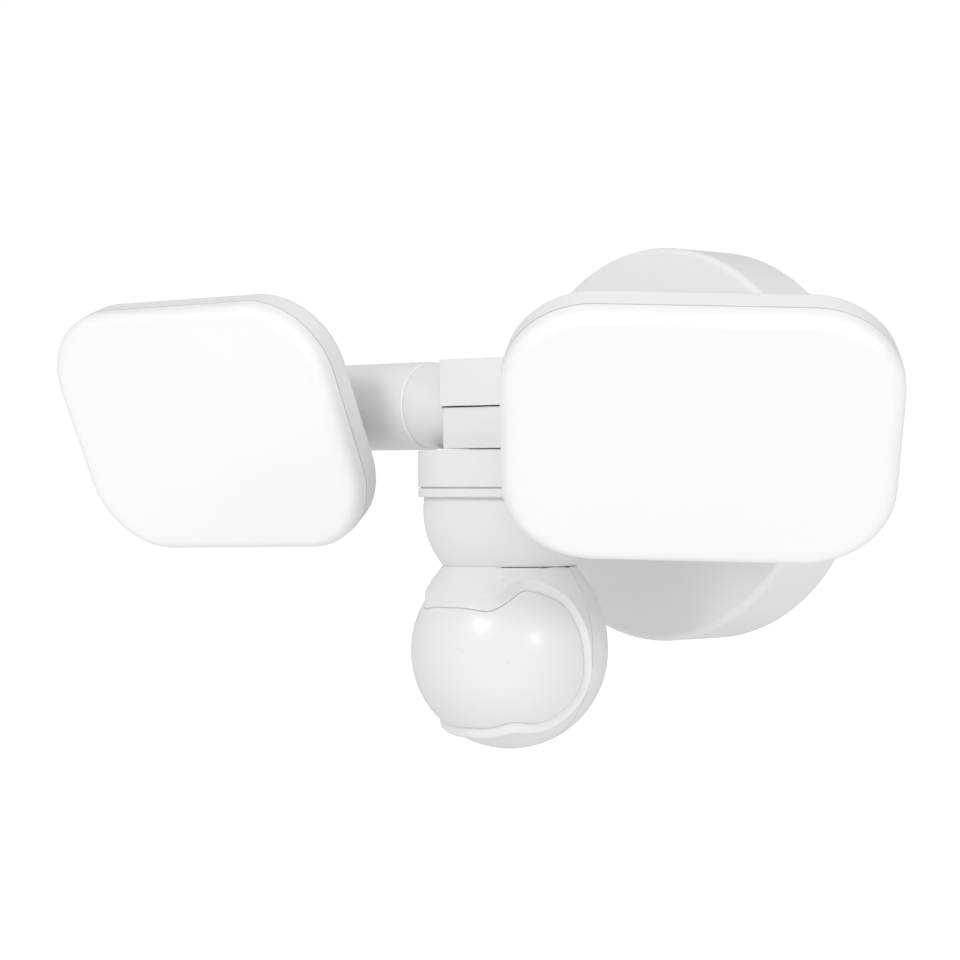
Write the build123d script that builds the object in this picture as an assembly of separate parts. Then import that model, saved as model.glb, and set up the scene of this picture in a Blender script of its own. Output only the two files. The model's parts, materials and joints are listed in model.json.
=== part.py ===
from build123d import *
import os
from math import radians, sin, cos, sqrt

# Twin-head LED floodlight with a motion sensor ball, for a wall.
# Frame: +Z up, the wall is the plane y = 0 and the lamp stands out of it toward -Y.
# The origin is the centre of the canopy's back, between the two wall-box screws.

# ---- driving dimensions (mm) ----
CAN_R, CAN_D = 63.5, 27.1            # canopy disc
CAN_WALL, CAN_FRONT = 2.5, 3.0
BOX_SPACING, SLOT_LEN, SLOT_R = 88.9, 14.0, 2.4   # wall-box screw slots
LID_SCREW_X = 30.0                   # canopy screws, left and right of centre
YB = -95.1                           # vertical axis of the hub and sensor
ZP, PIPE_R, ELB_R = 11.8, 13.5, 13.8   # arm tube axis height, tube radius and elbow radius
BLK_LO, BLK_HI = 14.65, 15.5         # half width of the hub block, lower part and cap
Z_SPLIT, Z_TOP, Z_BOT = 10.6, 25.3, -1.9
STUB_X = 33.0                        # end of the fixed stub, start of the elbow
SPIGOT_R, NOSE_R, FIT = 9.0, 6.5, 0.05
BASE_R, BASE_Z0 = 28.0, -13.6        # round base under the block
RING_Z = -16.65                      # lower edge of the socket ring
NB_R, NB_Z, NB_BOT = 26.4, -20.6, -37.4           # spherical sensor neck
BALL_R, BALL_Z = 30.0, -63.3         # sensor ball
PX, PY = 92.5, -116.3                # head pivots, either side
KN_R = 11.5                          # knuckle ball radius
HEAD_W, HEAD_H, HEAD_RC = 107.1, 82.6, 25.2       # lamp head outline
Y_FACE, Y_SEAM, Y_SIDE, Y_BACK = -29.5, -23.4, -16.6, -12.9   # head depths from the pivot
HEAD_DZ = 4.6                        # head centre above its pivot
L_YAW, L_PITCH, L_ROLL = 11.1, 26.2, -1.2
R_YAW, R_PITCH, R_ROLL = 39.6, 37.8, 1.7

os.makedirs("parts", exist_ok=True)


def save(shape, name):
    shape.label = name
    export_step(shape, f"parts/{name}.step")


def front(y, z=0.0, x=0.0):
    """Sketch plane facing -Y: its x is +X and its y is +Z."""
    return Plane(origin=(x, y, z), x_dir=(1, 0, 0), z_dir=(0, -1, 0))


def rod(p, d, r, h):
    return extrude(Plane(origin=p, z_dir=d) * Circle(r), amount=h)


def ring(p, d, r1, r0, h):
    return extrude(Plane(origin=p, z_dir=d) * (Circle(r1) - Circle(r0)), amount=h)


def box(x0, x1, y0, y1, z0, z1):
    return Pos((x0 + x1) / 2, (y0 + y1) / 2, (z0 + z1) / 2) * Box(abs(x1 - x0), abs(y1 - y0), abs(z1 - z0))


def ball(p, r):
    return Pos(*p) * Sphere(r)


def hexnut(p, d, af, bore, h):
    return extrude(Plane(origin=p, z_dir=d) * (RegularPolygon(af / 2, 6, major_radius=False) - Circle(bore)), amount=h)


def group(items):
    return Compound(children=list(items))


def poly(pts):
    """Filled polygon, always wound anticlockwise so that it extrudes along its plane's normal."""
    area = sum(a[0] * b[1] - b[0] * a[1] for a, b in zip(pts, pts[1:] + pts[:1]))
    return Polygon(*(pts if area > 0 else pts[::-1]), align=None)


# ================= canopy, bracket and driver =================
shell = rod((0, 0, 0), (0, -1, 0), CAN_R, CAN_D)
shell = fillet(shell.edges().filter_by(GeomType.CIRCLE).sort_by(Axis.Y)[0], 2.2)
shell -= rod((0, 0, 0), (0, -1, 0), CAN_R - CAN_WALL, CAN_D - CAN_FRONT)
for s in (-1, 1):
    x = s * LID_SCREW_X
    shell += rod((x, -CAN_D + 1.0, 0), (0, 1, 0), 7.0, 15.0)
    shell -= rod((x, -CAN_D - 1, 0), (0, 1, 0), 5.2, 5.4)
    shell -= rod((x, -CAN_D, 0), (0, 1, 0), 2.3, 20)
shell -= rod((0, 1, ZP), (0, -1, 0), 8.1, 40)
save(shell, "canopy")

gasket = ring((0, 0, 0), (0, -1, 0), CAN_R - CAN_WALL - 0.3, CAN_R - CAN_WALL - 4.5, 3.0)
save(gasket, "wall_gasket")

strap = extrude(front(0) * RectangleRounded(110, 19, 6), amount=1.8)
for s in (-1, 1):
    strap -= extrude(front(1, 0, s * BOX_SPACING / 2) * SlotOverall(SLOT_LEN, 2 * SLOT_R), amount=5)
    strap -= rod((s * LID_SCREW_X, 1, 0), (0, -1, 0), 2.05, 5)
strap -= rod((0, 1, 0), (0, -1, 0), 2.6, 5)
save(strap, "mounting_bracket")

screws, plugs = [], []
for s in (-1, 1):
    x = s * LID_SCREW_X
    sc = rod((x, -CAN_D + 4.4, 0), (0, -1, 0), 4.4, 1.9) + rod((x, -CAN_D + 4.4, 0), (0, 1, 0), 2.0, 22.0)
    sc -= Pos(x, -CAN_D + 2.5, 0) * Box(1.2, 1.6, 5.0) + Pos(x, -CAN_D + 2.5, 0) * Box(5.0, 1.6, 1.2)
    screws.append(sc)
    pl = rod((x, -CAN_D, 0), (0, 1, 0), 5.1, 2.3)
    pl = fillet(pl.edges().filter_by(GeomType.CIRCLE).sort_by(Axis.Y)[0], 0.5)
    plugs.append(pl)
save(group(screws), "canopy_screws")
save(group(plugs), "canopy_plugs")

pcb = extrude(front(-7.0, -28) * RectangleRounded(62, 34, 3), amount=1.6)
save(pcb, "driver_board")
comps = [Pos(-16, -14.4, -28) * Box(20, 11.4, 18), rod((12, -8.7, -34), (0, -1, 0), 5.0, 12.0),
         rod((24, -8.7, -22), (0, -1, 0), 4.0, 10.0), Pos(8, -10.7, -20) * Box(10, 3.8, 7)]
save(group(comps), "driver_components")
term = extrude(front(-6.0, 38) * RectangleRounded(32, 12, 1.5), amount=11)
for k in (-1, 0, 1):
    term -= rod((k * 9.5, -17.2, 38), (0, 1, 0), 2.0, 7)
save(term, "terminal_block")

# ================= horizontal neck, canopy to hub =================
NECK_END = YB + BLK_HI + 0.2
neck = rod((0, -CAN_D, ZP), (0, -1, 0), PIPE_R, -NECK_END - CAN_D)
flange = rod((0, -CAN_D, ZP), (0, -1, 0), 17.5, 3.2)
flange = fillet(flange.edges().filter_by(GeomType.CIRCLE).sort_by(Axis.Y)[0], 1.2)
neck += flange
neck += rod((0, -CAN_D, ZP), (0, 1, 0), 8.0, 9.5)
neck -= rod((0, -15, ZP), (0, -1, 0), 5.5, 70)
neck -= rod((0, -CAN_D - 6, ZP), (0, -1, 0), 10.5, 70)
save(neck, "canopy_neck")
save(hexnut((0, -CAN_D + CAN_FRONT, ZP), (0, 1, 0), 24, 8.02, 4.0), "neck_nut")

# ================= hub =================
body = extrude(Plane(origin=(0, YB, Z_BOT)) * RectangleRounded(2 * BLK_LO, 2 * BLK_LO, 1.0), amount=Z_SPLIT - Z_BOT)
lower = box(-60, 60, YB - 40, YB + 40, -20, Z_SPLIT)
for s in (-1, 1):
    st = rod((s * (BLK_HI + 0.2), YB, ZP), (s, 0, 0), PIPE_R, STUB_X - BLK_HI - 0.2)
    e = st.edges().filter_by(GeomType.CIRCLE).sort_by(Axis.X)
    st = fillet(e[-1] if s > 0 else e[0], 0.3)
    body += st
    body += rod((s * 8, YB, ZP), (s, 0, 0), PIPE_R, BLK_HI - 7.5) & lower
body += rod((0, YB + 8, ZP), (0, 1, 0), PIPE_R, NECK_END - YB - 8.05) & lower
body -= box(-11.4, 11.4, YB - 11.6, YB + 11.6, 0.8, 40)
for y in (-8.5, 8.5):
    body += rod((0, YB + y, 0.5), (0, 0, 1), 2.9, Z_SPLIT - 0.6)
for s in (-1, 1):
    body -= rod((s * 8, YB, ZP), (s, 0, 0), 9.4, BLK_HI + 0.2 - 8)
    body -= rod((s * 8, YB, ZP), (s, 0, 0), NOSE_R + FIT, 20)
    body -= rod((s * 17.6, YB, ZP), (s, 0, 0), SPIGOT_R + FIT, 20)
body -= rod((0, YB + 8 + 3, ZP), (0, 1, 0), 6.5, 20)
body -= rod((0, YB, -5), (0, 0, 1), 4.0 + FIT, 10)
for y in (-8.5, 8.5):
    body -= rod((0, YB + y, 4), (0, 0, 1), 1.2, 20)
for a in (-1, 1):
    body -= rod((a * 8.2, YB + a * 5, -3), (0, 0, 1), 1.3, 3.4)
save(body, "hub_body")

cap = extrude(Plane(origin=(0, YB, Z_SPLIT + 0.4)) * RectangleRounded(2 * BLK_HI, 2 * BLK_HI, 1.0), amount=Z_TOP - Z_SPLIT - 0.4)
cap = fillet(cap.edges().group_by(Axis.Z)[-1], 0.9)
cap -= box(-12.6, 12.6, YB - 12.6, YB + 12.6, 5, Z_TOP - 2.2)
for y in (-8.5, 8.5):
    cap += rod((0, YB + y, Z_SPLIT + 0.4), (0, 0, 1), 2.9, Z_TOP - Z_SPLIT - 1.6)
for s in (-1, 1):
    cap -= rod((s * 8, YB, ZP), (s, 0, 0), 9.4, 12)
cap -= rod((0, YB + 11.5, ZP), (0, 1, 0), 6.5, 12)
for y in (-8.5, 8.5):
    cap -= rod((0, YB + y, 5), (0, 0, 1), 1.5, 30) + rod((0, YB + y, Z_TOP - 1.7), (0, 0, 1), 2.8, 5)
save(cap, "hub_cap")
hs = []
for y in (-8.5, 8.5):
    sc = rod((0, YB + y, Z_TOP - 1.7), (0, 0, 1), 2.6, 1.4) + rod((0, YB + y, Z_TOP - 1.7), (0, 0, -1), 1.15, 17)
    sc -= Pos(0, YB + y, Z_TOP - 0.5) * (Box(3.2, 0.8, 1.4) + Box(0.8, 3.2, 1.4))
    hs.append(sc)
save(group(hs), "hub_cap_screws")

base = rod((0, YB, BASE_Z0), (0, 0, 1), BASE_R, Z_BOT - 0.5 - BASE_Z0)
base = fillet(base.edges().filter_by(GeomType.CIRCLE), 0.35)
base += rod((0, YB, Z_BOT - 1.0), (0, 0, 1), 12.5, 0.9)        # raised seat, so a fine shadow line shows under the block
base -= rod((0, YB, BASE_Z0 - 1), (0, 0, 1), 26.8, 1 + (-3.9 - BASE_Z0))
base -= rod((0, YB, -20), (0, 0, 1), 4.3, 40)
for a in (-1, 1):
    base -= rod((a * 8.2, YB + a * 5, -20), (0, 0, 1), 1.5, 40)
save(base, "hub_base")
bs = []
for a in (-1, 1):
    bs.append(rod((a * 8.2, YB + a * 5, -3.9), (0, 0, -1), 2.5, 1.3) + rod((a * 8.2, YB + a * 5, -3.9), (0, 0, 1), 1.25, 4.0))
save(group(bs), "base_screws")

sring = rod((0, YB, RING_Z), (0, 0, 1), BASE_R - 0.1, BASE_Z0 - RING_Z)
sring = fillet(sring.edges().filter_by(GeomType.CIRCLE).sort_by(Axis.Z)[0], 0.4)
sring -= ring((0, YB, BASE_Z0 - 0.4), (0, 0, 1), BASE_R + 1, 27.2, 1)
sring -= ball((0, YB, NB_Z), NB_R + 0.3)
save(sring, "socket_ring")

# ================= arms: elbow, seal, lock nut =================
for s, side in ((-1, "left"), (1, "right")):
    b = 15.0                                   # bend radius of the tube axis
    x0, x1 = s * (STUB_X + 0.12), s * (PX - b)
    path = Line((x0, YB, ZP), (x1, YB, ZP))
    arc = CenterArc((x1, YB - b, ZP), b, 90, 90) if s < 0 else CenterArc((x1, YB - b, ZP), b, 90, -90)
    p2 = Line((s * PX, YB - b, ZP), (s * PX, PY + 2.0, ZP))
    wire = Wire([path, arc, p2])
    el = sweep(Plane(origin=(x0, YB, ZP), z_dir=(s, 0, 0)) * Circle(ELB_R), path=wire)
    rim = el.edges().filter_by(GeomType.CIRCLE).sort_by(Axis.X)
    el = fillet(rim[0] if s > 0 else rim[-1], 0.8)
    el = el - ring((x0 - s * 1.0, YB, ZP), (s, 0, 0), 11.9, 9.0, 1.3)
    el = el + rod((x0 + s * 1.0, YB, ZP), (-s, 0, 0), SPIGOT_R, STUB_X + 1.12 - 17.8)
    el = el + rod((s * 18, YB, ZP), (-s, 0, 0), NOSE_R, 18 - 11.2)
    # two ears that hold the knuckle ball on its upright axis
    ears = ball((s * PX, PY, ZP), PIPE_R) & box(s * PX - 3.8, s * PX + 3.8, PY - 3.2, PY + 2.4, ZP - 20, ZP + 20)
    nose = rod((s * PX, PY, ZP - 20), (0, 0, 1), 3.8, 40) + box(s * PX - 3.8, s * PX + 3.8, PY, PY + 5, ZP - 20, ZP + 20)
    el = el + (ears & nose)
    el = el - ball((s * PX, PY, ZP), KN_R + 0.3)
    el = el - sweep(Plane(origin=(x0, YB, ZP), z_dir=(s, 0, 0)) * Circle(4.2), path=wire)
    el = el - rod((s * 40, YB, ZP), (-s, 0, 0), 4.2, 40)
    for k in (-1, 1):
        el = el + (rod((s * PX, PY, ZP + k * 9.7), (0, 0, k), 1.6, 3.2) & ball((s * PX, PY, ZP), PIPE_R - 0.2))
    save(el, f"{side}_arm_elbow")
    save(hexnut((s * 15.4, YB, ZP), (-s, 0, 0), 15.6, NOSE_R + 0.02, 3.2), f"{side}_arm_nut")
    oring = ring((s * (STUB_X + 0.02), YB, ZP), (s, 0, 0), 11.7, 9.3, 0.36)
    save(oring, f"{side}_arm_seal")

# ================= lamp heads =================
def head_face(k=1.0, inset=0.0):
    return RectangleRounded(HEAD_W * k - 2 * inset, HEAD_H * k - 2 * inset, max(HEAD_RC * k - inset, 1))


def slab(y0, y1, k=1.0, inset=0.0):
    return extrude(front(y0, HEAD_DZ) * head_face(k, inset), amount=y0 - y1)


def build_head():
    parts = {}
    # casing: side wall that narrows slightly, rounded back
    wall = loft([front(Y_SEAM + 0.25, HEAD_DZ) * head_face(1.0), front(Y_SIDE, HEAD_DZ) * head_face(0.985)])
    back = loft([front(Y_SIDE, HEAD_DZ) * head_face(0.985), front(Y_SIDE + 2.3, HEAD_DZ) * head_face(0.975, 1.0),
                 front(Y_BACK, HEAD_DZ) * head_face(0.955, 4.2)])
    h = wall + back
    h = h - slab(Y_SEAM + 3, Y_SEAM - 3, 1.0, 2.6) - slab(Y_BACK - 3.4, Y_SEAM, 0.96, 4.4)
    h = h - rod((0, Y_BACK + 1, 0), (0, -1, 0), 14.3, 3.1)
    for k in range(-4, 5):                       # cooling grooves in the back, clear of the bracket
        if abs(k) >= 2:
            x = k * 9.5
            h = h - extrude(front(Y_BACK + 1, HEAD_DZ, x) * SlotOverall(54 - abs(k) * 3, 3.6, rotation=90), amount=2.2)
    for x in (-1, 1):
        for z in (-1, 1):
            h = h - rod((x * 13.9, Y_BACK + 1, HEAD_DZ + z * 29), (0, -1, 0), 2.9, 2.2)
            h = h - rod((x * 13.9, Y_BACK + 1, HEAD_DZ + z * 29), (0, -1, 0), 1.6, 8)
    for a in (-1, 1):
        h = h - rod((a * 9.5, Y_BACK, 0), (0, -1, 0), 1.6, 12)
    h = h - rod((0, Y_BACK, 0), (0, -1, 0), 3.0, 12)
    parts["housing"] = h
    parts["gasket"] = slab(Y_SEAM + 0.25, Y_SEAM, 1.0, 0.9) - slab(Y_SEAM + 1, Y_SEAM - 1, 1.0, 2.6)
    spreader = slab(Y_BACK - 3.5, Y_BACK - 5.0, 0.95, 5.0)
    for a in (-1, 1):
        spreader -= rod((a * 9.5, Y_BACK, 0), (0, -1, 0), 1.3, 12)
    spreader -= rod((0, Y_BACK, 0), (0, -1, 0), 3.0, 12)
    parts["heat_spreader"] = spreader
    board = slab(Y_BACK - 5.1, Y_BACK - 6.5, 0.95, 6.0)
    parts["led_board"] = board
    leds = []
    for i in range(-3, 4):
        for j in (-2, -1, 0, 1, 2):
            if abs(i) == 3 and abs(j) == 2:
                continue
            leds.append(extrude(front(Y_BACK - 6.55, HEAD_DZ + j * 13.0, i * 13.0) * RectangleRounded(3.6, 3.6, 0.4), amount=0.8))
    parts["leds"] = group(leds)
    bs = []
    for x in (-1, 1):
        for z in (-1, 1):
            bs.append(rod((x * 32.5, Y_BACK - 6.55, HEAD_DZ + z * 19.5), (0, -1, 0), 2.4, 1.2))
    parts["board_screws"] = group(bs)
    # opal cover with its wrapped edge
    d = slab(Y_SEAM, Y_FACE)
    d = fillet(d.faces().sort_by(Axis.Y)[0].edges(), 2.4)
    d = d - slab(Y_SEAM + 1, Y_FACE + 1.8, 1.0, 1.9)
    parts["diffuser"] = d
    sc = []
    for x in (-1, 1):
        for z in (-1, 1):
            q = rod((x * 13.9, Y_BACK - 1.15, HEAD_DZ + z * 29), (0, 1, 0), 2.6, 1.0)
            q = q - Pos(x * 13.9, Y_BACK - 0.1, HEAD_DZ + z * 29) * (Box(3.2, 0.9, 0.8) + Box(0.8, 0.9, 3.2))
            q = q + rod((x * 13.9, Y_BACK - 1.15, HEAD_DZ + z * 29), (0, -1, 0), 1.4, 1.2)
            sc.append(q)
    parts["back_screws"] = group(sc)
    return parts


def build_bracket():
    # round foot and a tongue that pivots inside the knuckle ball
    f = rod((0, Y_BACK - 2.05, 0), (0, 1, 0), 14.0, 2.05)
    f = fillet(f.edges().filter_by(GeomType.CIRCLE).sort_by(Axis.Y)[-1], 0.5)
    t = box(-2.9, 2.9, Y_BACK - 0.5, 0, -4, 4) + rod((-2.9, 0, 0), (1, 0, 0), 4.0, 5.8)
    f = f + t
    f = f - rod((-5, 0, 0), (1, 0, 0), 1.55, 10)
    for a in (-1, 1):
        f = f - rod((a * 9.5, Y_BACK + 1, 0), (0, -1, 0), 1.75, 6)
    return f


def build_knuckle():
    k = Sphere(KN_R)
    # slot for the tongue, open from 22 degrees up to 50 degrees down
    e = 4.35
    d0, d1 = radians(-22), radians(51)
    far = 18.0
    # each edge line runs at distance e from the pivot, along the direction (-cos d, -sin d)
    pts_poly = [(-sin(d0) * e, cos(d0) * e), (-cos(d0) * far - sin(d0) * e, -sin(d0) * far + cos(d0) * e),
                (-far * 1.4, -4),
                (-cos(d1) * far + sin(d1) * e, -sin(d1) * far - cos(d1) * e), (sin(d1) * e, -cos(d1) * e)]
    sk = Plane(origin=(-3.15, 0, 0), x_dir=(0, 1, 0), z_dir=(1, 0, 0)) * (poly(pts_poly) + Circle(e))
    k = k - extrude(sk, amount=6.3)
    k = k - rod((-20, 0, 0), (1, 0, 0), 1.55, 40)
    for s in (-1, 1):
        k = k - rod((s * (KN_R - 1.3), 0, 0), (s, 0, 0), 3.0, 5)
        k = k - rod((0, 0, s * 9.4), (0, 0, s), 1.65, 5)
    return k


def build_tilt_screw():
    q = rod((-KN_R + 1.25, 0, 0), (1, 0, 0), 1.5, 2 * KN_R - 2.5)
    q = q + rod((-KN_R + 1.25, 0, 0), (-1, 0, 0), 2.6, 0.0 + 0.7) + rod((KN_R - 1.25, 0, 0), (1, 0, 0), 2.6, 0.7)
    return q


for s, side, yaw, pitch, roll in ((-1, "left", L_YAW, L_PITCH, L_ROLL), (1, "right", R_YAW, R_PITCH, R_ROLL)):
    place = Pos(s * PX, PY, ZP) * Rot(0, 0, yaw)
    tilt = place * Rot(pitch, 0, 0)
    save(place * build_knuckle(), f"{side}_knuckle")
    save(tilt * build_tilt_screw(), f"{side}_tilt_screw")
    save(tilt * build_bracket(), f"{side}_head_bracket")
    bsc = []
    for a in (-1, 1):
        bsc.append(rod((a * 9.5, Y_BACK, 0), (0, 1, 0), 2.4, 0.7) + rod((a * 9.5, Y_BACK, 0), (0, -1, 0), 1.25, 4.9))
    twist = tilt * Rot(0, roll, 0)
    save(twist * group(bsc), f"{side}_bracket_screws")
    for name, shape in build_head().items():
        save(twist * shape, f"{side}_head_{name}" if name in ("housing", "gasket") else f"{side}_{name}")

# ================= sensor: pan yoke, neck ball =================
O = (0, YB, NB_Z)
yoke = rod((0, YB, NB_Z), (0, 0, 1), 4.0, 4.6 - NB_Z)
yoke += Pos(*O) * Box(12, 9, 10)
yoke -= rod((-10, YB, NB_Z), (1, 0, 0), 2.0 + FIT, 20)
yoke -= rod((0, YB, NB_Z + 8), (0, 0, 1), 2.2, 40)
save(yoke, "pan_yoke")
save(hexnut((0, YB, 0.9), (0, 0, 1), 9.2, 4.02, 3.0), "pan_nut")
save(rod((-23.3, YB, NB_Z), (1, 0, 0), 2.0, 46.6), "sensor_tilt_pin")

outer = ball(O, NB_R) & box(-40, 40, YB - 40, YB + 40, NB_BOT, NB_Z + 10.6)
inner = ball(O, NB_R - 2.4) & box(-40, 40, YB - 40, YB + 40, NB_BOT + 2.4, 40)
nb = outer - inner
for s in (-1, 1):
    nb += rod((s * 16.5, YB, NB_Z), (s, 0, 0), 4.2, 8.4)
nb -= rod((-24.0, YB, NB_Z), (1, 0, 0), 2.03, 48.0)
nb -= rod((0, YB, -50), (0, 0, 1), 4.5, 20)
SCREW_XY = ((-11.5, 8.2), (11.5, 8.2), (0, -12))
for x, y in SCREW_XY:
    nb -= rod((x, YB + y, -50), (0, 0, 1), 1.6, 20)
save(nb, "sensor_neck")

# ================= sensor ball: shells, lens, board =================
def outline(r, grow=0.0):
    """Turned outline of the ball casing in (radius, height)."""
    z1 = NB_BOT - 0.2 - BALL_Z
    with BuildSketch(Plane.XZ) as sk:
        with BuildLine():
            a = Line((0, z1 - grow), (20.5 - grow, z1 - grow))
            b = Line(a @ 1, (25.7 - grow, 18.4 - grow * 0.4))
            c = Spline(b @ 1, (28.6 - grow, 10.6), (30.0 - grow, 0), tangents=[(0.35, -1), (0, -1)])
            d = RadiusArc(c @ 1, (0, -30.0 + grow), 30.0 - grow)
            Line(d @ 1, a @ 0)
        make_face()
    return sk.sketch


def turned(grow=0.0):
    return Pos(0, YB, BALL_Z) * revolve(outline(BALL_R, grow), Axis.Z)


def lens_tool(off):
    """Lens outline: two lobes and a narrow waist, as a front and a side profile."""
    o = off
    fr = [(0, 13.8 + o), (6.6, 13.8 + o), (11.8, 13.3 + o), (15.2, 14.6 + o), (18.6, 18.0 + o), (21, 19.4 + o), (40, 19.6 + o),
          (40, -21.4 - o), (21, -21.3 - o), (16.5, -20.6 - o), (10.5, -21.7 - o), (0, -22.6 - o)]
    left = [(-x, z) for x, z in reversed(fr)][1:-1]
    f2 = extrude(front(YB + 10, BALL_Z) * poly(fr + left), amount=60)
    sd = [(-60, 19.3 + o), (-12.5, 19.3 + o), (-9.9, 18.3 + o), (-4.5 + 0.5 * o, 15.6 + 0.9 * o), (-1.6 + 0.8 * o, 11.3 + 0.6 * o), (0.3 + o, 5.5 + 0.2 * o),
          (1.2 + o, -0.6), (1.4 + o, -6.1), (0.7 + o, -11.6 - 0.2 * o), (-1.8 + 0.8 * o, -15.9 - 0.6 * o), (-5 + 0.5 * o, -19.2 - 0.9 * o),
          (-8.7, -21.4 - o), (-14, -22.6 - o), (-60, -22.6 - o)]
    s2 = extrude(Plane(origin=(-60, YB, BALL_Z), x_dir=(0, 1, 0), z_dir=(1, 0, 0)) * poly(sd), amount=120)
    return f2 & s2


SPLIT = YB + 5.0
C = (0, YB, BALL_Z)
skin = turned(0.0) + (ball(C, BALL_R + 0.9) & lens_tool(2.8))
hollow = turned(2.2)
shell_all = skin - hollow
bezel = shell_all & box(-60, 60, YB - 60, SPLIT - 0.05, -200, 0)
bezel -= lens_tool(0.15) & ball(C, 60)
save(bezel, "sensor_front_shell")

rear = (turned(0.0) - hollow) & box(-60, 60, SPLIT + 0.05, YB + 60, -200, 0)
for x in (-6.6, 6.6):
    rear += rod((x, YB + 11.5, BALL_Z - 29), (0, 0, 1), 6.2, 8.2) & ball(C, BALL_R - 1.0)
for x in (-6.6, 6.6):
    rear -= rod((x, YB + 11.5, BALL_Z - 40), (0, 0, 1), 3.9, 40 - 23.0)
    rear -= rod((x, YB + 11.5, BALL_Z - 40), (0, 0, 1), 1.55, 30)
for x, y in SCREW_XY[:2]:
    rear -= rod((x, YB + y, NB_BOT + 5), (0, 0, -1), 1.4, 14)
bez_hole = SCREW_XY[2]
save(rear, "sensor_rear_shell")

lens = (ball(C, BALL_R + 0.2) - ball(C, BALL_R - 1.4)) & lens_tool(0.0)
save(lens, "fresnel_lens")

sb = extrude(front(YB + 9.0, BALL_Z - 2) * Circle(17.5), amount=1.6)
save(sb, "sensor_board")
pir = rod((0, YB + 7.35, BALL_Z - 3), (0, -1, 0), 5.0, 0.8) + rod((0, YB + 6.6, BALL_Z - 3), (0, -1, 0), 4.3, 4.0)
save(pir, "pir_element")
ss = []
for x, y in SCREW_XY[:2]:
    ss.append(rod((x, YB + y, NB_BOT + 2.4), (0, 0, 1), 2.8, 1.6) + rod((x, YB + y, NB_BOT + 2.4), (0, 0, -1), 1.35, 7.0))
save(group(ss), "sensor_screws")

for x, name in ((-6.6, "time_dial"), (6.6, "range_dial")):
    d = rod((x, YB + 11.5, BALL_Z - 25.3), (0, 0, 1), 3.6, 2.1)
    d = fillet(d.edges().filter_by(GeomType.CIRCLE).sort_by(Axis.Z)[0], 0.4)
    d -= Pos(x, YB + 11.5, BALL_Z - 25.3) * Box(4.8, 1.0, 1.6)
    d += rod((x, YB + 11.5, BALL_Z - 24.4), (0, 0, 1), 1.5, 5.0)
    save(d, name)
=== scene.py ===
import bpy, bmesh, json, math
from mathutils import Vector, Matrix


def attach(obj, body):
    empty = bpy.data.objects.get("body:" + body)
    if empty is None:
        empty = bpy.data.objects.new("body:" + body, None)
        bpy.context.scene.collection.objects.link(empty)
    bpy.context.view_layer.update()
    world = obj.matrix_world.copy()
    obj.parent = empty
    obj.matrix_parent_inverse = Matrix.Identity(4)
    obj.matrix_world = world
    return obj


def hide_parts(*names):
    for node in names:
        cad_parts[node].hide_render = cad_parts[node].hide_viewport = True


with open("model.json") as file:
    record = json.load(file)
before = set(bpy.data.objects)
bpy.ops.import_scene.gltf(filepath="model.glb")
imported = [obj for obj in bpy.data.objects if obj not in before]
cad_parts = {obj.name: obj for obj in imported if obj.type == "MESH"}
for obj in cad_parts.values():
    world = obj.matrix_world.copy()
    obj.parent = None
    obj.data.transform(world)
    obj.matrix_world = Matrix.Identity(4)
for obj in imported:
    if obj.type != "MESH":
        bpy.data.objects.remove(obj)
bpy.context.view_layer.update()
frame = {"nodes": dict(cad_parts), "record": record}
N = frame["nodes"]
scene = bpy.context.scene
scene.view_settings.view_transform = "Standard"
scene.view_settings.look = "None"

# ------------------------------------------------------------------ camera
TH = math.radians(44.17)
cam_data = bpy.data.cameras.new("camera")
cam_data.sensor_width = 36.0
cam_data.lens = 102.75
cam_data.clip_start, cam_data.clip_end = 0.02, 200.0
cam = bpy.data.objects.new("camera", cam_data)
scene.collection.objects.link(cam)
look = Vector((-math.sin(TH), math.cos(TH), 0.0))
cam.location = (0.57613, -0.70119, -0.01146)
cam.rotation_mode = "QUATERNION"
cam.rotation_quaternion = look.to_track_quat("-Z", "Y")
scene.camera = cam

# ------------------------------------------------------------------ the numbers the CAD was made with, in metres
YB, ZP = -0.0951, 0.0118
PX, PY = 0.0925, -0.1163
HEAD = {"left": (-1, 11.1, 26.2, -1.2), "right": (1, 39.6, 37.8, 1.7)}
HEAD_W, HEAD_H, HEAD_RC, HEAD_DZ = 0.1071, 0.0826, 0.0252, 0.0046
Y_FACE, Y_SEAM = -0.0295, -0.0234
BALL_R, BALL_Z = 0.0300, -0.0633


# ------------------------------------------------------------------ materials
def node_tree(name):
    m = bpy.data.materials.new(name)
    m.use_nodes = True
    nt = m.node_tree
    nt.nodes.clear()
    out = nt.nodes.new("ShaderNodeOutputMaterial")
    p = nt.nodes.new("ShaderNodeBsdfPrincipled")
    nt.links.new(p.outputs[0], out.inputs[0])
    co = nt.nodes.new("ShaderNodeTexCoord")
    return m, nt, p, co


def noise(nt, co, scale, detail=3.0, rough=0.55, distort=0.0):
    n = nt.nodes.new("ShaderNodeTexNoise")
    n.inputs["Scale"].default_value = scale
    n.inputs["Detail"].default_value = detail
    n.inputs["Roughness"].default_value = rough
    n.inputs["Distortion"].default_value = distort
    nt.links.new(co.outputs["Object"], n.inputs["Vector"])
    return n.outputs["Fac"]


def span(nt, fac, lo, hi, a=0.25, b=0.75):
    r = nt.nodes.new("ShaderNodeMapRange")
    r.inputs["From Min"].default_value, r.inputs["From Max"].default_value = a, b
    r.inputs["To Min"].default_value, r.inputs["To Max"].default_value = lo, hi
    nt.links.new(fac, r.inputs["Value"])
    return r.outputs["Result"]


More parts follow.
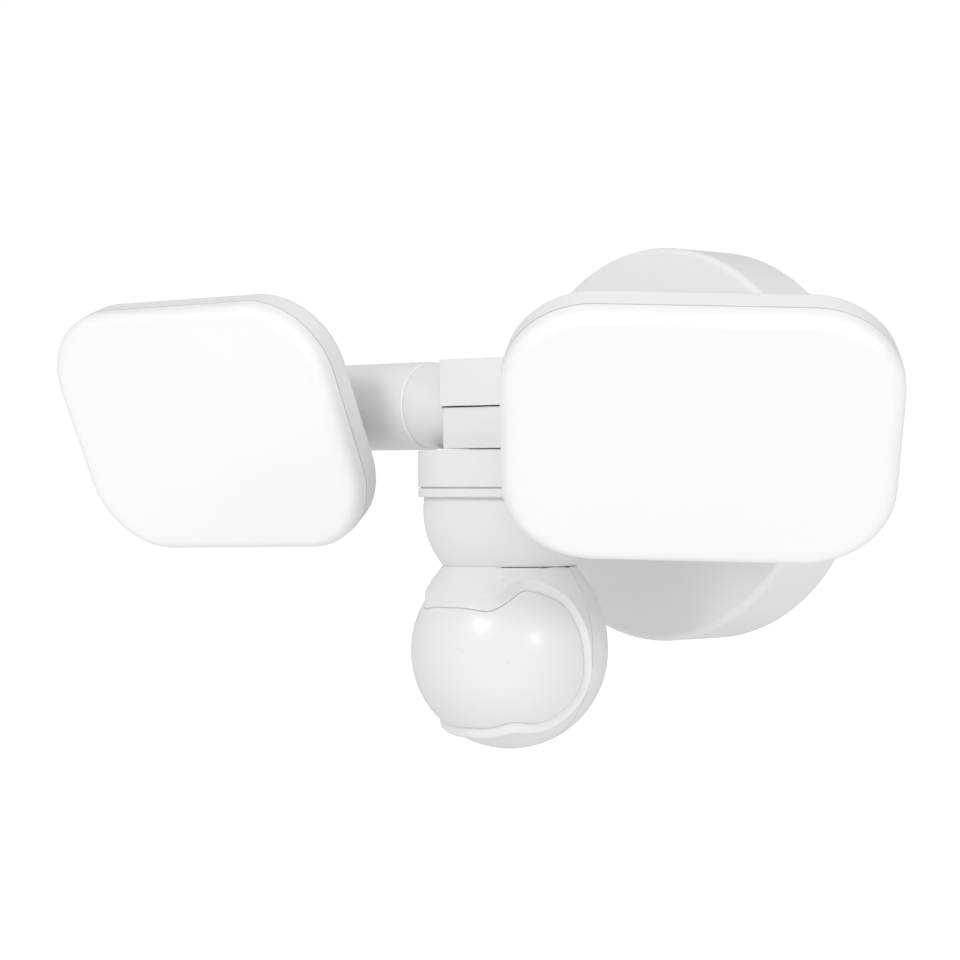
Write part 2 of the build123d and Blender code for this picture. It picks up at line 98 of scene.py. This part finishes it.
def tint(nt, fac, c0, c1):
    r = nt.nodes.new("ShaderNodeMix")
    r.data_type = "RGBA"
    r.inputs[6].default_value = (*c0, 1)
    r.inputs[7].default_value = (*c1, 1)
    nt.links.new(fac, r.inputs["Factor"])
    return r.outputs[2]


def bump(nt, p, parts, edge=0.0):
    last = None
    if edge:
        bv = nt.nodes.new("ShaderNodeBevel")
        bv.samples = 4
        bv.inputs["Radius"].default_value = edge
        last = bv.outputs[0]
    for h, strength, dist in parts:
        b = nt.nodes.new("ShaderNodeBump")
        b.inputs["Strength"].default_value = strength
        b.inputs["Distance"].default_value = dist
        nt.links.new(h, b.inputs["Height"])
        if last is not None:
            nt.links.new(last, b.inputs["Normal"])
        last = b.outputs[0]
    nt.links.new(last, p.inputs["Normal"])


def plastic(name, c, r0, r1, grain=1700.0, depth=0.00002, strength=0.25, spec=0.42, edge=0.0, coat=0.0, sss=0.0, vary=0.012, swell=0.08):
    m, nt, p, co = node_tree(name)
    slow = noise(nt, co, 28.0, 4.0, 0.6)
    fine = noise(nt, co, grain, 2.0, 0.5)
    mid = noise(nt, co, 190.0, 3.0, 0.6)
    c0 = tuple(max(0.0, v - vary) for v in c)
    c1 = tuple(min(1.0, v + vary * 0.6) for v in c)
    nt.links.new(tint(nt, span(nt, slow, 0, 1), c0, c1), p.inputs["Base Color"])
    nt.links.new(span(nt, mid, r0, r1), p.inputs["Roughness"])
    p.inputs["Specular IOR Level"].default_value = spec
    p.inputs["IOR"].default_value = 1.49
    if coat:
        p.inputs["Coat Weight"].default_value = coat
        p.inputs["Coat Roughness"].default_value = 0.12
    if sss:
        p.inputs["Subsurface Weight"].default_value = sss
        p.inputs["Subsurface Radius"].default_value = (1.0, 0.95, 0.9)
        p.inputs["Subsurface Scale"].default_value = 0.003
    bump(nt, p, [(fine, strength, depth)] + ([(mid, swell, 0.00008)] if swell else []), edge)
    return m


def metal(name, c, r0, r1, brushed=True):
    m, nt, p, co = node_tree(name)
    mp = nt.nodes.new("ShaderNodeMapping")
    mp.inputs["Scale"].default_value = (1.0, 14.0, 14.0) if brushed else (1, 1, 1)
    nt.links.new(co.outputs["Object"], mp.inputs["Vector"])
    n = nt.nodes.new("ShaderNodeTexNoise")
    n.inputs["Scale"].default_value = 260.0
    n.inputs["Detail"].default_value = 4.0
    nt.links.new(mp.outputs[0], n.inputs["Vector"])
    f = n.outputs["Fac"]
    nt.links.new(tint(nt, span(nt, f, 0, 1), tuple(v * 0.88 for v in c), tuple(min(1, v * 1.06) for v in c)), p.inputs["Base Color"])
    nt.links.new(span(nt, f, r0, r1), p.inputs["Roughness"])
    p.inputs["Metallic"].default_value = 1.0
    bump(nt, p, [(f, 0.15, 0.00002)])
    return m


WHITE = (0.79, 0.79, 0.792)
M = {
    "casing_white": plastic("casing_white", WHITE, 0.42, 0.52, spec=0.32, edge=0.0004),
    "diffuser_opal": plastic("diffuser_opal", (0.80, 0.80, 0.802), 0.34, 0.42, grain=2600.0, depth=0.000008, strength=0.15, spec=0.3, vary=0.006),
    "lens_translucent": plastic("lens_translucent", (0.79, 0.79, 0.792), 0.27, 0.31, grain=2200.0, depth=0.000006, strength=0.12, spec=0.5, vary=0.003, swell=0.0),
    "plug_white": plastic("plug_white", (0.70, 0.70, 0.70), 0.6, 0.72, grain=1400.0),
    "foam_seal": plastic("foam_seal", (0.035, 0.035, 0.037), 0.85, 0.95, grain=1500.0, depth=0.0002, strength=0.6),
    "seal_rubber": plastic("seal_rubber", (0.03, 0.03, 0.032), 0.55, 0.7),
    "circuit_board": plastic("circuit_board", (0.02, 0.13, 0.06), 0.35, 0.5, grain=900.0, vary=0.02),
    "component_dark": plastic("component_dark", (0.035, 0.035, 0.04), 0.4, 0.55),
    "terminal_nylon": plastic("terminal_nylon", (0.66, 0.66, 0.62), 0.45, 0.55),
    "nylon_grey": plastic("nylon_grey", (0.33, 0.33, 0.34), 0.45, 0.58),
    "dial_grey": plastic("dial_grey", (0.40, 0.41, 0.42), 0.42, 0.55, edge=0.0002),
    "led_phosphor": plastic("led_phosphor", (0.85, 0.70, 0.20), 0.2, 0.3, grain=3000.0),
    "led_board_white": plastic("led_board_white", (0.85, 0.85, 0.84), 0.3, 0.4),
    "zinc_steel": metal("zinc_steel", (0.62, 0.63, 0.65), 0.28, 0.45),
    "screw_steel": metal("screw_steel", (0.60, 0.60, 0.61), 0.22, 0.36, False),
    "spreader_aluminium": metal("spreader_aluminium", (0.78, 0.78, 0.79), 0.3, 0.45),
    "sensor_can": metal("sensor_can", (0.66, 0.64, 0.60), 0.2, 0.32, False),
}
# painted glow: emission brightens the panel's face and fades across the wrapped edge onto the side wall, so edge and
# side read darker as painted shade
g = M["diffuser_opal"].node_tree
at = g.nodes.new("ShaderNodeAttribute")
at.attribute_name = "painted_glow"
gm = g.nodes.new("ShaderNodeMath")
gm.operation = "MULTIPLY"
gm.inputs[1].default_value = 0.135
g.links.new(at.outputs["Fac"], gm.inputs[0])
bsdf = next(n for n in g.nodes if n.type == "BSDF_PRINCIPLED")
bsdf.inputs["Emission Color"].default_value = (1.0, 0.995, 0.985, 1)
g.links.new(gm.outputs[0], bsdf.inputs["Emission Strength"])
slots = {s["node"]: s["material_slot"] for s in frame["record"]["subparts"]}
for name, o in N.items():
    for k in range(max(1, len(o.material_slots))):
        if not o.material_slots:
            o.data.materials.append(M[slots[name]])
        o.material_slots[k].material = M[slots[name]]

# ------------------------------------------------------------------ mesh helpers (millimetres in, metres out)
def lap(loop, times, k=0.5):
    """Smooths a closed loop of unit directions."""
    for _ in range(times):
        n = len(loop)
        loop = [(loop[i] * (1 - k) + (loop[i - 1] + loop[(i + 1) % n]) * (k / 2)).normalized() for i in range(n)]
    return loop


def resample(pts, n):
    """Even steps along a closed Catmull-Rom curve through pts."""
    m, fine = len(pts), []
    for i in range(m):
        p0, p1, p2, p3 = pts[i - 1], pts[i], pts[(i + 1) % m], pts[(i + 2) % m]
        for k in range(24):
            t = k / 24
            fine.append(0.5 * ((2 * p1) + (p2 - p0) * t + (2 * p0 - 5 * p1 + 4 * p2 - p3) * t * t
                               + (3 * p1 - p0 - 3 * p2 + p3) * t ** 3))
    run = [0.0]
    for i in range(len(fine)):
        run.append(run[-1] + (fine[(i + 1) % len(fine)] - fine[i]).length)
    out, j = [], 0
    for k in range(n):
        d = run[-1] * k / n
        while run[j + 1] < d:
            j += 1
        t = (d - run[j]) / max(run[j + 1] - run[j], 1e-9)
        out.append(fine[j].lerp(fine[(j + 1) % len(fine)], t))
    return out


def interp(x, table):
    for (a, va), (b, vb) in zip(table, table[1:]):
        if x <= b:
            t = min(1.0, max(0.0, (x - a) / (b - a)))
            return va + (vb - va) * t
    return table[-1][1]


def piece(name, verts, faces, body, material, nodes, scale=0.001, smooth=True, sharp=None, painted_glow=None):
    """A mesh piece in the shared frame that stands for one CAD node."""
    me = bpy.data.meshes.new(name)
    me.from_pydata([tuple(c * scale for c in v) for v in verts], [], faces)
    me.validate()
    bm = bmesh.new()
    bm.from_mesh(me)
    bmesh.ops.recalc_face_normals(bm, faces=bm.faces)
    bm.to_mesh(me)
    bm.free()
    for p_ in me.polygons:
        p_.use_smooth = smooth
    if sharp is not None:
        me.set_sharp_from_angle(angle=math.radians(sharp))
    o = bpy.data.objects.new(name, me)
    scene.collection.objects.link(o)
    me.materials.append(M[material])
    if painted_glow is not None:
        at = me.attributes.new("painted_glow", "FLOAT", "POINT")
        at.data.foreach_set("value", painted_glow)
    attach(o, body)
    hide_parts(*nodes)
    return o


def tube_faces(rows, n, base=0):
    """Faces of a torus of rows loops, each of n points."""
    f = []
    for r in range(rows):
        a, b = base + r * n, base + ((r + 1) % rows) * n
        for i in range(n):
            j = (i + 1) % n
            f.append((a + i, a + j, b + j, b + i))
    return f


# ------------------------------------------------------------------ sensor ball: lens and front shell
C_MM = Vector((0.0, YB * 1000, BALL_Z * 1000))
HALF = [(0, 13.8), (14, 13.9), (25, 13.1), (33, 13.3), (44, 16.2), (51.5, 18.9), (57.5, 19.2), (66, 18.3), (80, 15.6),
        (86, 11.3), (89.6, 5.5), (91, -0.6), (92.4, -6.1), (91.5, -11.6), (86, -15.9), (77.7, -19.2), (67, -21),
        (46.5, -20.4), (27, -22.3), (0, -22.6)]


def on_ball(phi, z, r=30.0):
    w = math.sqrt(r * r - z * z)
    a = math.radians(phi)
    return Vector((w * math.sin(a), -w * math.cos(a), z)) / r


LOOP_N = 288
RIM = [v.normalized() for v in resample([on_ball(*p_) for p_ in HALF] + [on_ball(-a, z) for a, z in HALF[-2:0:-1]], LOOP_N)]
RIM = lap(RIM, 6)
EYE = on_ball(0, -6.0)


# the direction of travel round the loop decides which side is out, tested at the bottom of the lens
low = min(range(LOOP_N), key=lambda k: RIM[k].z)
OUT = 1 if RIM[low].cross(RIM[(low + 1) % LOOP_N] - RIM[low - 1]).z < 0 else -1
# the lip is narrower at the two ends of the lens, where the casing's split is near
LIP = [1.0 - 0.34 * max(0.0, min(1.0, (v.y + 0.42) / 0.36)) for v in RIM]


def offset(loop, d, times=0, lip=False):
    """The loop moved d mm outwards over the sphere of radius 30."""
    n, out = len(loop), []
    for i, p_ in enumerate(loop):
        m = p_.cross(loop[(i + 1) % n] - loop[i - 1]).normalized() * OUT
        e = d * (LIP[i] if lip else 1.0) / 30.0
        out.append((p_ * math.cos(e) + m * math.sin(e)).normalized())
    return lap(out, times)


# casing of revolution: distance from the ball's centre by elevation angle
PROFILE = [(30.0, 0.0), (29.93, 2.5), (29.72, 5.2), (29.3, 7.9), (28.65, 10.6), (27.75, 13.4), (26.8, 16.0), (25.7, 18.4),
           (24.4, 20.25), (22.8, 22.5), (20.9, 25.2), (20.5, 25.7)]
R_TABLE = [(-90.0, 30.0), (0.0, 30.0)] + [(math.degrees(math.atan2(z, r)), math.hypot(z, r)) for r, z in PROFILE[1:]]
TOP_ANGLE = R_TABLE[-1][0]


def casing_r(v):
    return interp(math.degrees(math.asin(max(-1, min(1, v.z)))), R_TABLE)


def smooth_max(a, b, k=0.35):
    h = max(0.0, min(1.0, 0.5 + 0.5 * (a - b) / k))
    return b + (a - b) * h + k * h * (1 - h)


def edge_of_shell(beta):
    """Where a line out from the lens centre reaches the split at the back or the flat top."""
    side, up = Vector((1, 0, 0)), Vector((0, 0, 1))
    lo_a, hi_a = 60.0, 100.2
    for _ in range(40):
        a = math.radians((lo_a + hi_a) / 2)
        v = Vector((math.sin(a) * math.cos(beta), -math.cos(a), math.sin(a) * math.sin(beta)))
        out = v.y * casing_r(v) > 4.9 or math.degrees(math.asin(max(-1, min(1, v.z)))) > TOP_ANGLE
        if out:
            hi_a = (lo_a + hi_a) / 2
        else:
            lo_a = (lo_a + hi_a) / 2
    return v


def build_front_shell():
    chamfer = [(0.12, 0.0), (0.35, 0.06), (0.8, 0.24), (1.3, 0.47), (1.8, 0.70), (2.25, 0.88), (2.6, 0.975), (2.9, 1.0)]
    fall = [(3.15, 31.3), (3.4, 31.08), (3.7, 30.75), (4.0, 30.42), (4.4, 30.12), (4.9, 29.85), (5.6, 29.4)]
    rows = []
    rim = offset(RIM, 0.0)
    rows.append([v * 28.2 for v in offset(RIM, 0.1)])
    rows.append([v * 29.2 for v in offset(RIM, 0.05)])
    for d, g in chamfer:
        lp_ = offset(RIM, d, int(d * 2), True)
        rows.append([v * (29.62 + (max(31.42, casing_r(v) + 0.12) - 29.62) * (g ** (1.0 + 0.9 * max(0.0, min(1.0, (v.z - 0.35) * 5))))) for v in lp_])
    for d, r in fall:
        lp_ = offset(RIM, d, int(d * 3), True)
        rows.append([v * smooth_max(casing_r(v), r) for v in lp_])
    last = offset(RIM, 5.6, 18, True)
    n = len(last)
    beta = [math.atan2(v.z, v.x) for v in last]
    un = [beta[0]]
    for b in beta[1:]:
        while b - un[-1] > math.pi:
            b -= 2 * math.pi
        while b - un[-1] < -math.pi:
            b += 2 * math.pi
        un.append(b)
    turn = un[-1] - un[0]
    sgn = 1 if turn > 0 else -1
    for _ in range(60):
        un = [(un[i] * 0.5 + 0.25 * ((un[i - 1] if i else un[-1] - sgn * 2 * math.pi) + (un[i + 1] if i < n - 1 else un[0] + sgn * 2 * math.pi))) for i in range(n)]
    edge = [edge_of_shell(b) for b in un]
    steps = 18
    for k in range(1, steps + 1):
        t = k / steps
        lp_ = [last[i].slerp(edge[i], t) for i in range(n)]
        rows.append([v * casing_r(v) for v in lp_])
    # inner face, back towards the opening
    for k in (steps, 12, 6, 0):
        t = k / steps
        lp_ = [last[i].slerp(edge[i], t) for i in range(n)]
        rows.append([v * (casing_r(v) - 2.1) for v in lp_])
    rows.append([v * 27.8 for v in offset(RIM, 2.2, 4)])
    verts = [C_MM + p_ for r in rows for p_ in r]
    return verts, tube_faces(len(rows), n)


def build_lens():
    n = LOOP_N
    rows = []
    edge = [(-0.02, 28.6), (-0.02, 29.35), (-0.06, 29.62), (-0.2, 29.8), (-0.5, 29.93), (-1.0, 30.0), (-2.0, 30.04), (-3.2, 30.06)]
    for d, r in edge:
        rows.append([v * r for v in offset(RIM, d, int(-d * 5))])
    inner = offset(RIM, -3.2, 40)
    steps = 22
    for k in range(1, steps):
        t = k / steps
        lp_ = lap([inner[i].slerp(EYE, t) for i in range(n)], 6 * k)
        rows.append([v * (30.06 + 0.12 * min(1.0, t * 2)) for v in lp_])
    front_pole = EYE * 30.18
    verts = [C_MM + p_ for r in rows for p_ in r]
    faces = []
    for r in range(len(rows) - 1):
        a, b = r * n, (r + 1) * n
        faces += [(a + i, a + (i + 1) % n, b + (i + 1) % n, b + i) for i in range(n)]
    verts.append(C_MM + front_pole)
    pole = len(verts) - 1
    a = (len(rows) - 1) * n
    faces += [(a + i, a + (i + 1) % n, pole) for i in range(n)]
    # inner face
    base = len(verts)
    back = []
    for k in range(0, steps, 3):
        t = k / steps
        lp_ = lap([inner[i].slerp(EYE, t) for i in range(n)], 6 * k)
        back.append([v * 28.6 for v in lp_])
    verts += [C_MM + p_ for r in back for p_ in r]
    faces += [((i + 1) % n, i, base + i, base + (i + 1) % n) for i in range(n)]
    for r in range(len(back) - 1):
        a, b = base + r * n, base + (r + 1) * n
        faces += [(a + (i + 1) % n, a + i, b + i, b + (i + 1) % n) for i in range(n)]
    verts.append(C_MM + EYE * 28.6)
    pole2 = len(verts) - 1
    a = base + (len(back) - 1) * n
    faces += [(a + (i + 1) % n, a + i, pole2) for i in range(n)]
    return verts, faces


v_, f_ = build_front_shell()
piece("sensor_bezel", v_, f_, "sensor", "casing_white", ["sensor_front_shell"], sharp=42)
v_, f_ = build_lens()
piece("motion_lens", v_, f_, "sensor", "lens_translucent", ["fresnel_lens"], sharp=50)


# ------------------------------------------------------------------ lamp covers: opal panels with a soft wrapped edge
def panel_outline(inset):
    w, h, r = HEAD_W * 1000 - 2 * inset, HEAD_H * 1000 - 2 * inset, max(HEAD_RC * 1000 - inset, 2.0)
    pts = []
    quads = ((1, 1, 0), (-1, 1, 90), (-1, -1, 180), (1, -1, 270))
    for q, (cx, cz, a0) in enumerate(quads):
        for k in range(15):
            a = math.radians(a0 + 90 * k / 14)
            pts.append(Vector(((w / 2 - r) * cx + r * math.cos(a), (h / 2 - r) * cz + r * math.sin(a))))
        nx_, nz_, na = quads[(q + 1) % 4]
        a = math.radians(na)
        end = Vector(((w / 2 - r) * nx_ + r * math.cos(a), (h / 2 - r) * nz_ + r * math.sin(a)))
        st = pts[-1]
        m = 10 if q % 2 == 0 else 6
        for k in range(1, m):
            pts.append(st.lerp(end, k / m))
    return pts


def head_matrix(side):
    s, yaw, pitch, roll = HEAD[side]
    return (Matrix.Translation((s * PX, PY, ZP)) @ Matrix.Rotation(math.radians(yaw), 4, "Z")
            @ Matrix.Rotation(math.radians(pitch), 4, "X") @ Matrix.Rotation(math.radians(roll), 4, "Y"))


def build_cover(side):
    face, seam, R = Y_FACE * 1000, Y_SEAM * 1000, 3.4
    rows = []      # (inset, y)
    rows.append((0.35, seam + 0.02))
    rows.append((0.06, seam - 0.12))
    rows.append((0.0, seam - 0.4))
    rows.append((0.0, seam - 1.6))
    rows.append((0.0, seam - 2.9))
    for k in range(1, 10):
        a = math.radians(90 * k / 9)
        rows.append((R * (1 - math.cos(a)), (face + R) - R * math.sin(a)))
    for inset, dy in ((5.5, 0.0), (10, -0.06), (16, -0.14), (22, -0.2), (28, -0.24), (34, -0.27), (38, -0.28)):
        rows.append((inset, face + dy + 0.0))
    verts, n, painted_glow = [], None, []
    for inset, y in rows:
        o = panel_outline(inset)
        # painted glow: full over the face from 4 mm in, fading across the rounded edge to 0.35 on the side wall, a
        # painted darkening of the side as shade
        painted_glow += [0.35 + 0.65 * min(1.0, max(0.0, inset / 4.0))] * len(o)
        n = len(o)
        verts += [Vector((p_.x, y, p_.y + HEAD_DZ * 1000)) for p_ in o]
    faces = []
    for r in range(len(rows) - 1):
        a, b = r * n, (r + 1) * n
        faces += [(a + i, a + (i + 1) % n, b + (i + 1) % n, b + i) for i in range(n)]
    faces.append(tuple((len(rows) - 1) * n + i for i in range(n)))
    # inner face
    base = len(verts)
    inner = [(2.0, seam + 0.02), (2.0, face + R), (2.6, face + 2.4), (4.2, face + 1.9), (10.0, face + 1.8)]
    for inset, y in inner:
        verts += [Vector((p_.x, y, p_.y + HEAD_DZ * 1000)) for p_ in panel_outline(inset)]
        painted_glow += [0.0] * n
    faces += [((i + 1) % n, i, base + i, base + (i + 1) % n) for i in range(n)]
    for r in range(len(inner) - 1):
        a, b = base + r * n, base + (r + 1) * n
        faces += [(a + (i + 1) % n, a + i, b + i, b + (i + 1) % n) for i in range(n)]
    faces.append(tuple(base + (len(inner) - 1) * n + i for i in reversed(range(n))))
    mat = head_matrix(side)
    verts = [mat @ (v * 0.001) for v in verts]
    return verts, faces, painted_glow


for side in ("left", "right"):
    v_, f_, g_ = build_cover(side)
    piece(side + "_lamp_cover", v_, f_, side + "_head", "diffuser_opal", [side + "_diffuser"], scale=1.0, sharp=48, painted_glow=g_)

# ------------------------------------------------------------------ studio
floor_mat, nt, p, co = node_tree("studio_floor")
nt.links.new(tint(nt, span(nt, noise(nt, co, 0.8), 0, 1), (0.92, 0.92, 0.92), (0.94, 0.94, 0.94)), p.inputs["Base Color"])
p.inputs["Roughness"].default_value = 0.9
p.inputs["Emission Color"].default_value = (1, 1, 1, 1)
p.inputs["Emission Strength"].default_value = 0.55
me = bpy.data.meshes.new("studio_floor")
bm = bmesh.new()
bmesh.ops.create_grid(bm, x_segments=8, y_segments=8, size=30.0)
bm.to_mesh(me); bm.free()
floor = bpy.data.objects.new("studio_floor", me)
floor.location = (0, 0, -1.6)
floor.visible_diffuse = floor.visible_glossy = False
me.materials.append(floor_mat)
scene.collection.objects.link(floor)

world = bpy.data.worlds.new("studio")
scene.world = world
world.use_nodes = True
wt = world.node_tree
wt.nodes.clear()
wo = wt.nodes.new("ShaderNodeOutputWorld")
seen = wt.nodes.new("ShaderNodeBackground")
seen.inputs["Color"].default_value = (1, 1, 1, 1)
seen.inputs["Strength"].default_value = 1.02
# fill that is brighter below than above, brighter on the right than on the left, and dimmer from the wall's side
fill = wt.nodes.new("ShaderNodeBackground")
fill.inputs["Color"].default_value = (1, 1, 1, 1)
wc = wt.nodes.new("ShaderNodeTexCoord")
sep = wt.nodes.new("ShaderNodeSeparateXYZ")
wt.links.new(wc.outputs["Generated"], sep.inputs[0])
up = wt.nodes.new("ShaderNodeMapRange")
up.inputs["From Min"].default_value, up.inputs["From Max"].default_value = -0.8, 0.9
up.inputs["To Min"].default_value, up.inputs["To Max"].default_value = 1.05, 0.72
up.interpolation_type = "SMOOTHSTEP"
wt.links.new(sep.outputs["Z"], up.inputs["Value"])
across = wt.nodes.new("ShaderNodeMapRange")
across.inputs["From Min"].default_value, across.inputs["From Max"].default_value = -1.0, 0.4
across.inputs["To Min"].default_value, across.inputs["To Max"].default_value = 0.82, 1.0
wt.links.new(sep.outputs["X"], across.inputs["Value"])
mul = wt.nodes.new("ShaderNodeMath")
mul.operation = "MULTIPLY"
wt.links.new(up.outputs[0], mul.inputs[0])
wt.links.new(across.outputs[0], mul.inputs[1])
away = wt.nodes.new("ShaderNodeMapRange")
away.inputs["From Min"].default_value, away.inputs["From Max"].default_value = 0.0, 0.9
away.inputs["To Min"].default_value, away.inputs["To Max"].default_value = 1.0, 0.74
wt.links.new(sep.outputs["Y"], away.inputs["Value"])
mul2 = wt.nodes.new("ShaderNodeMath")
mul2.operation = "MULTIPLY"
wt.links.new(mul.outputs[0], mul2.inputs[0])
wt.links.new(away.outputs[0], mul2.inputs[1])
wt.links.new(mul2.outputs[0], fill.inputs["Strength"])
lp = wt.nodes.new("ShaderNodeLightPath")
mx = wt.nodes.new("ShaderNodeMixShader")
wt.links.new(lp.outputs["Is Camera Ray"], mx.inputs[0])
wt.links.new(fill.outputs[0], mx.inputs[1])
wt.links.new(seen.outputs[0], mx.inputs[2])
wt.links.new(mx.outputs[0], wo.inputs[0])


def area(name, azimuth, elevation, distance, size, power):
    """A softbox round the lamp: azimuth 0 stands before the wall, 90 to its right."""
    a, e = math.radians(azimuth), math.radians(elevation)
    target = Vector((0.0, -0.09, -0.01))
    d = bpy.data.lights.new(name, "AREA")
    d.shape = "SQUARE"
    d.size = size
    d.energy = power
    o = bpy.data.objects.new(name, d)
    o.location = target + Vector((math.sin(a) * math.cos(e), -math.cos(a) * math.cos(e), math.sin(e))) * distance
    o.rotation_mode = "QUATERNION"
    o.rotation_quaternion = (target - o.location).to_track_quat("-Z", "Y")
    scene.collection.objects.link(o)
    return o


area("softbox_front", 5.0, 31.5, 1.7, 0.42, 7.0)
area("softbox_right", 60.0, 34.0, 1.7, 0.8, 2.6)
area("softbox_low", 75.0, 14.0, 1.7, 0.22, 4.0)
